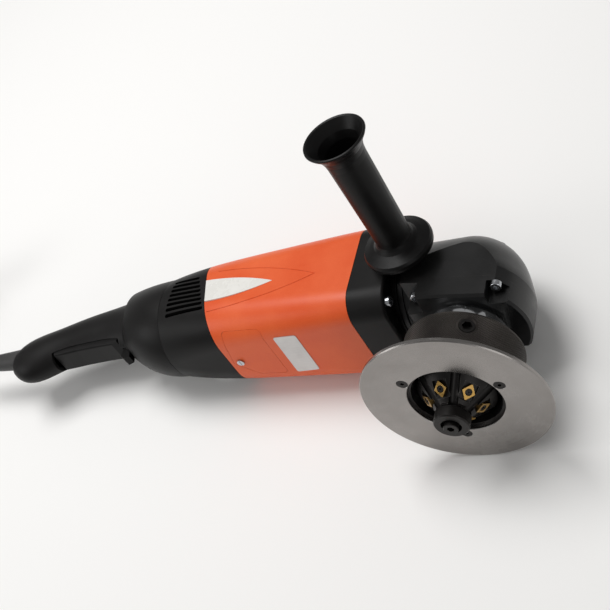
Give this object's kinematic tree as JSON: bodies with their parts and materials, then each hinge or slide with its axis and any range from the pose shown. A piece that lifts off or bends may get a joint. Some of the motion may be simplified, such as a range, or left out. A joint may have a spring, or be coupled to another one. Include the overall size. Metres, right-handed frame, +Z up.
{
  "type": "portable edge milling machine on an angle grinder body",
  "caption": "Two-handed angle grinder fitted as an edge bevelling machine, with a milling head, round guide plate, guide roller and knurled depth collar, on its side",
  "frame": {"origin": "bottom centre of the tool as it lies on its left side, without its mains lead", "axes": "+X along the motor towards the gear head, +Z up from the bench, side handle pointing up"},
  "size_m": [0.8378, 0.2614, 0.2397],
  "materials": {
    "orange_nylon": "moulded glass-filled nylon, fine texture",
    "black_nylon": "moulded glass-filled nylon, fine texture",
    "black_cast_aluminium": "black powder coat on die-cast aluminium",
    "black_oxide_steel": "black oxide on steel",
    "bright_zinc_steel": "zinc plated",
    "ground_steel": "ground and lightly brushed",
    "polished_steel": "polished",
    "bearing_steel": "turned and ground steel",
    "coated_carbide": "titanium nitride coated carbide",
    "laminated_steel": "stacked laminations",
    "enamelled_copper": "enamelled copper",
    "brass": "pressed brass",
    "carbon": "pressed graphite",
    "label_aluminium": "blank anodised foil",
    "white_decal": "plain vinyl",
    "black_rubber": "moulded rubber",
    "black_webbing": "hook and loop strap"
  },
  "bodies": {
    "root": {"motor_housing": "orange_nylon", "brush_covers": "orange_nylon", "front_housing": "black_nylon", "vent_housing": "black_nylon", "handle_shell_right": "black_nylon", "handle_shell_left": "black_nylon", "side_handle_grip": "black_nylon", "air_baffle": "black_nylon", "switch_block": "black_nylon", "gear_case": "black_cast_aluminium", "bearing_flange": "black_cast_aluminium", "body_screws": "bright_zinc_steel", "bearing_flange_screws": "bright_zinc_steel", "brush_cover_screws": "bright_zinc_steel", "handle_screws": "bright_zinc_steel", "side_handle_stud": "bright_zinc_steel", "pivot_pins": "bright_zinc_steel", "threaded_sleeve": "polished_steel", "lower_spindle_bearing": "bearing_steel", "upper_spindle_bearing": "bearing_steel", "front_armature_bearing": "bearing_steel", "rear_armature_bearing": "bearing_steel", "stator_core": "laminated_steel", "field_coils": "enamelled_copper", "brush_holders": "brass", "plug_pins": "brass", "carbon_brushes": "carbon", "rating_label": "label_aluminium", "side_emblem": "white_decal", "strain_relief": "black_rubber", "cord_lead": "black_rubber", "cord_tail": "black_rubber", "cord_coil": "black_rubber", "plug_body": "black_rubber", "cord_tie": "black_webbing"},
    "armature": {"armature_shaft": "bearing_steel", "pinion": "bearing_steel", "armature_core": "laminated_steel", "armature_windings": "enamelled_copper", "commutator": "enamelled_copper", "fan": "black_nylon"},
    "spindle_group": {"spindle": "bearing_steel", "crown_gear": "bearing_steel", "cutter_head": "black_oxide_steel", "cutter_inserts": "coated_carbide", "insert_screws": "black_oxide_steel", "roller_bush": "black_oxide_steel", "roller_screw": "black_oxide_steel", "roller_washer": "black_oxide_steel"},
    "guide_roller": {"guide_roller": "black_oxide_steel"},
    "depth_guide": {"depth_cup": "black_oxide_steel", "guide_plate": "ground_steel", "plate_screws": "black_oxide_steel"},
    "depth_collar": {"knurled_collar": "black_oxide_steel", "collar_lock_screw": "black_oxide_steel"},
    "trigger": {"trigger": "black_nylon"},
    "lock_off_lever": {"lock_off_lever": "black_nylon"},
    "spindle_lock_button": {"spindle_lock_button": "black_nylon"}
  },
  "joints": [
    {"name": "armature_spin", "type": "hinge", "parent": "root", "child": "armature", "pos_m": [0.09079, 0.04283, 0.05222], "axis": [0.9997, 0, 0.026], "continuous": true},
    {"name": "spindle_spin", "type": "hinge", "parent": "root", "child": "spindle_group", "pos_m": [0.24049, -0.01639, 0.06574], "axis": [0.0042, 0.9871, -0.1603], "continuous": true},
    {"name": "guide_roller_spin", "type": "hinge", "parent": "spindle_group", "child": "guide_roller", "pos_m": [0.24019, -0.08746, 0.07729], "axis": [0.0042, 0.9871, -0.1603], "continuous": true},
    {"name": "depth_slide", "type": "slide", "parent": "root", "child": "depth_guide", "axis": [0.0042, 0.9871, -0.1603], "range_m": [-0.008, 0.006]},
    {"name": "collar_turn", "type": "hinge", "parent": "depth_guide", "child": "depth_collar", "pos_m": [0.24039, -0.04008, 0.06959], "axis": [0.0042, 0.9871, -0.1603], "range_deg": [-960, 720]},
    {"name": "trigger_press", "type": "hinge", "parent": "root", "child": "trigger", "pos_m": [-0.18716, 0.03099, 0.04692], "axis": [-0.0257, 0.1604, 0.9867], "range_deg": [0, 5], "stiffness_Nm_per_rad": 6, "springref_deg": -4.58},
    {"name": "lock_off_press", "type": "hinge", "parent": "root", "child": "lock_off_lever", "pos_m": [-0.10868, 0.03395, 0.04848], "axis": [0.0257, -0.1604, -0.9867], "range_deg": [0, 14], "stiffness_Nm_per_rad": 0.3, "springref_deg": -17.19},
    {"name": "spindle_lock_press", "type": "slide", "parent": "root", "child": "spindle_lock_button", "axis": [-0.0042, -0.9871, 0.1603], "range_m": [0, 0.0038], "stiffness_N_per_m": 900, "springref_m": -0.004}
  ],
  "couplings": [
    {"joint": "spindle_spin", "follows": "armature_spin", "ratio": -0.28947},
    {"joint": "depth_slide", "follows": "collar_turn", "m_per_rad": 0.00047746}
  ]
}
